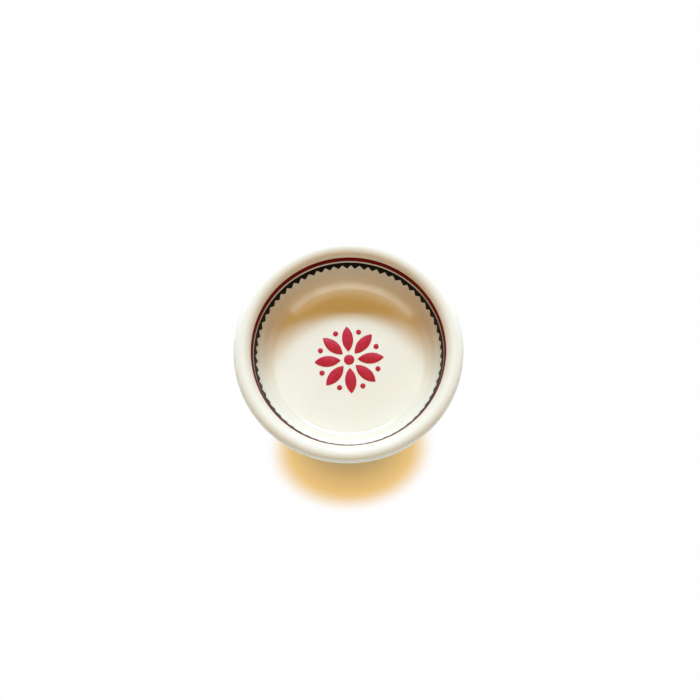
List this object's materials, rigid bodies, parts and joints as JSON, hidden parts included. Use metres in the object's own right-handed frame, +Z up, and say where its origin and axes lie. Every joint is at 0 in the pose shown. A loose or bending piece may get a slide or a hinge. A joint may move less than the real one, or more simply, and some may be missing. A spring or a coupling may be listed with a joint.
{
  "type": "ramekin",
  "caption": "Low round glazed stoneware ramekin with a rolled lip, flared wall and foot ring, bordered inside in red and black enamel, for baking and serving.",
  "frame": {"origin": "on the dish's axis, at the standing edge of the foot ring", "axes": "+Z up along the dish's axis, -Y towards the viewer of the picture, +X to the viewer's right"},
  "size_m": [0.1198, 0.12, 0.0304],
  "materials": {
    "bare_stoneware": "matt unglazed clay",
    "ivory_glaze": "glossy",
    "red_enamel": "glossy",
    "maroon_enamel": "glossy",
    "black_enamel": "glossy"
  },
  "bodies": {
    "root": {"stoneware_body": "bare_stoneware", "glaze_coat": "ivory_glaze", "underside_glaze": "ivory_glaze", "rim_red_line": "maroon_enamel", "sawtooth_border": "black_enamel", "rosette_centre": "red_enamel", "rosette_petal_1": "red_enamel", "rosette_petal_2": "red_enamel", "rosette_petal_3": "red_enamel", "rosette_petal_4": "red_enamel", "rosette_petal_5": "red_enamel", "rosette_petal_6": "red_enamel", "rosette_petal_7": "red_enamel", "rosette_petal_8": "red_enamel", "rosette_dot_1": "red_enamel", "rosette_dot_2": "red_enamel", "rosette_dot_3": "red_enamel", "rosette_dot_4": "red_enamel", "rosette_dot_5": "red_enamel", "rosette_dot_6": "red_enamel", "rosette_dot_7": "red_enamel", "rosette_dot_8": "red_enamel"}
  },
  "joints": []
}
